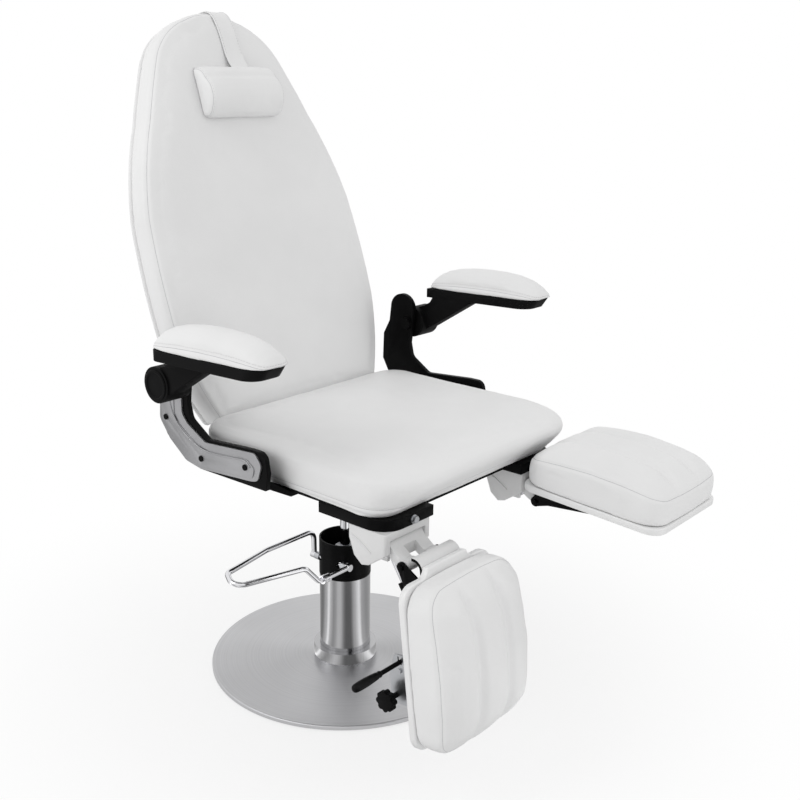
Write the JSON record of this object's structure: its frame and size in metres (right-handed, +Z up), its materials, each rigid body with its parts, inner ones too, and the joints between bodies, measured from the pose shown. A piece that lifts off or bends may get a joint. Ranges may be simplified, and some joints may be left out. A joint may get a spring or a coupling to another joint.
{
  "type": "pedicure chair",
  "caption": "Hydraulic pedicure chair: round base and column, swivel seat, reclining back with headrest, flip-up armrests and two leg rests that swing, tilt and extend.",
  "frame": {"origin": "middle of the floor disc, on the floor", "axes": "+Z up, -Y the way the sitter faces, +X the sitter's left"},
  "size_m": [0.8544, 1.1096, 1.3341],
  "materials": {
    "steel_brushed": "brushed",
    "chrome": "polished",
    "zinc_steel": "zinc plated",
    "black_metal": "satin",
    "white_metal": "satin",
    "silver_cover": "satin",
    "white_plastic": "gloss",
    "black_plastic": "matte",
    "black_rubber": "matte",
    "white_leather": "soft grain",
    "board_wood": "raw"
  },
  "bodies": {
    "base": {"base_ring": "black_rubber", "base_disc": "steel_brushed", "base_screws": "zinc_steel", "column_tube": "steel_brushed", "column_collar": "steel_brushed", "pump_housing": "black_metal", "pump_cylinder": "zinc_steel", "pump_gland": "zinc_steel", "pedal_bushings": "zinc_steel"},
    "lift": {"lift_ram": "chrome"},
    "pedal": {"pedal_bar": "chrome", "pedal_shaft": "chrome", "pedal_hubs": "chrome", "pedal_clamp": "chrome"},
    "seat": {"seat_frame": "black_metal", "swivel_hub": "zinc_steel", "recline_lugs": "black_metal", "leg_mounts": "black_metal", "mount_bolts": "zinc_steel", "seat_board": "board_wood", "seat_cushion": "white_leather", "side_plates": "black_metal", "cover_plates": "silver_cover", "plate_screws": "black_metal", "pivot_bolts": "black_metal"},
    "back": {"back_cushion": "white_leather", "back_board": "white_leather", "recline_arms": "black_metal", "headrest_pillow": "white_leather", "pillow_strap": "white_leather"},
    "armrest_r": {"arm_frame_r": "black_plastic", "arm_pad_r": "white_leather"},
    "leg_swing_r": {"leg_bracket_r": "white_metal", "hinge_arm_r": "white_metal"},
    "leg_tilt_r": {"leg_rail_r": "black_metal", "lever_plate_r": "zinc_steel", "rail_bolts_r": "zinc_steel"},
    "leg_rest_r": {"leg_board_r": "white_plastic", "slide_rails_r": "zinc_steel", "leg_pad_r": "white_leather"},
    "strut_cylinder_r": {"strut_cylinder_r": "black_metal"},
    "strut_rod_r": {"strut_rod_r": "chrome"},
    "star_knob_r": {"star_knob_r": "black_plastic"},
    "release_lever_r": {"release_lever_r": "black_metal", "lever_grip_r": "black_plastic"},
    "armrest_l": {"arm_frame_l": "black_plastic", "arm_pad_l": "white_leather"},
    "leg_swing_l": {"leg_bracket_l": "white_metal", "hinge_arm_l": "white_metal"},
    "leg_tilt_l": {"leg_rail_l": "black_metal", "lever_plate_l": "zinc_steel", "rail_bolts_l": "zinc_steel"},
    "leg_rest_l": {"leg_board_l": "white_plastic", "slide_rails_l": "zinc_steel", "leg_pad_l": "white_leather"},
    "strut_cylinder_l": {"strut_cylinder_l": "black_metal"},
    "strut_rod_l": {"strut_rod_l": "chrome"},
    "star_knob_l": {"star_knob_l": "black_plastic"},
    "release_lever_l": {"release_lever_l": "black_metal", "lever_grip_l": "black_plastic"}
  },
  "joints": [
    {"name": "lift_slide", "type": "slide", "parent": "base", "child": "lift", "axis": [0, 0, 1], "range_m": [-0.05, 0.1]},
    {"name": "pedal_press", "type": "hinge", "parent": "base", "child": "pedal", "pos_m": [-0.042, 0, 0.241], "axis": [0, -1, 0], "range_deg": [0, 18], "stiffness_Nm_per_rad": 6, "springref_deg": -17.19},
    {"name": "seat_swivel", "type": "hinge", "parent": "lift", "child": "seat", "pos_m": [0, 0, 0.48], "axis": [0, 0, 1], "continuous": true},
    {"name": "back_recline", "type": "hinge", "parent": "seat", "child": "back", "pos_m": [0, 0.15009, 0.52004], "axis": [-1, 0, 0], "range_deg": [0, 40]},
    {"name": "armrest_flip_r", "type": "hinge", "parent": "seat", "child": "armrest_r", "pos_m": [-0.357, 0.103, 0.673], "axis": [-1, 0, 0], "range_deg": [0, 95]},
    {"name": "leg_swing_r", "type": "hinge", "parent": "seat", "child": "leg_swing_r", "pos_m": [-0.201, -0.285, 0.467], "axis": [0, 0, -1], "range_deg": [0, 25]},
    {"name": "leg_tilt_r", "type": "hinge", "parent": "leg_swing_r", "child": "leg_tilt_r", "pos_m": [-0.201, -0.3684, 0.4164], "axis": [-1, 0, 0], "range_deg": [-5, 83]},
    {"name": "leg_extend_r", "type": "slide", "parent": "leg_tilt_r", "child": "leg_rest_r", "axis": [0, -0.1219, -0.9925], "range_m": [0, 0.07]},
    {"name": "strut_turn_r", "type": "hinge", "parent": "leg_tilt_r", "child": "strut_cylinder_r", "pos_m": [-0.201, -0.39832, 0.25887], "axis": [-1, 0, 0], "range_deg": [-22, 3]},
    {"name": "strut_slide_r", "type": "slide", "parent": "strut_cylinder_r", "child": "strut_rod_r", "axis": [0, 0.5582, 0.8297], "range_m": [-0.006, 0.064]},
    {"name": "star_knob_r", "type": "hinge", "parent": "leg_tilt_r", "child": "star_knob_r", "pos_m": [-0.301, -0.39336, 0.20084], "axis": [1, 0, 0], "continuous": true},
    {"name": "release_lever_r", "type": "hinge", "parent": "leg_tilt_r", "child": "release_lever_r", "pos_m": [-0.263, -0.40044, 0.26619], "axis": [0, 0.9925, -0.1219], "range_deg": [0, 10], "stiffness_Nm_per_rad": 2, "springref_deg": -5.73},
    {"name": "armrest_flip_l", "type": "hinge", "parent": "seat", "child": "armrest_l", "pos_m": [0.357, 0.103, 0.673], "axis": [-1, 0, 0], "range_deg": [0, 95]},
    {"name": "leg_swing_l", "type": "hinge", "parent": "seat", "child": "leg_swing_l", "pos_m": [0.201, -0.285, 0.467], "axis": [0, 0, 1], "range_deg": [0, 25]},
    {"name": "leg_tilt_l", "type": "hinge", "parent": "leg_swing_l", "child": "leg_tilt_l", "pos_m": [0.201, -0.3684, 0.4164], "axis": [1, 0, 0], "range_deg": [-3.3, 84.7]},
    {"name": "leg_extend_l", "type": "slide", "parent": "leg_tilt_l", "child": "leg_rest_l", "axis": [0, -0.9983, -0.0576], "range_m": [0, 0.07]},
    {"name": "strut_turn_l", "type": "hinge", "parent": "leg_tilt_l", "child": "strut_cylinder_l", "pos_m": [0.201, -0.52874, 0.41767], "axis": [1, 0, 0], "range_deg": [-24, 2]},
    {"name": "strut_slide_l", "type": "slide", "parent": "strut_cylinder_l", "child": "strut_rod_l", "axis": [0, 0.9985, -0.0553], "range_m": [-0.055, 0.004]},
    {"name": "star_knob_l", "type": "hinge", "parent": "leg_tilt_l", "child": "star_knob_l", "pos_m": [0.301, -0.58495, 0.40241], "axis": [1, 0, 0], "continuous": true},
    {"name": "release_lever_l", "type": "hinge", "parent": "leg_tilt_l", "child": "release_lever_l", "pos_m": [0.263, -0.52192, 0.42107], "axis": [0, -0.0576, 0.9983], "range_deg": [0, 10], "stiffness_Nm_per_rad": 2, "springref_deg": -5.73}
  ],
  "couplings": [
    {"joint": "strut_turn_r", "follows": "leg_tilt_r", "ratio": -0.25},
    {"joint": "strut_slide_r", "follows": "leg_tilt_r", "m_per_rad": 0.04223},
    {"joint": "strut_turn_l", "follows": "leg_tilt_l", "ratio": -0.27},
    {"joint": "strut_slide_l", "follows": "leg_tilt_l", "m_per_rad": -0.03507}
  ]
}
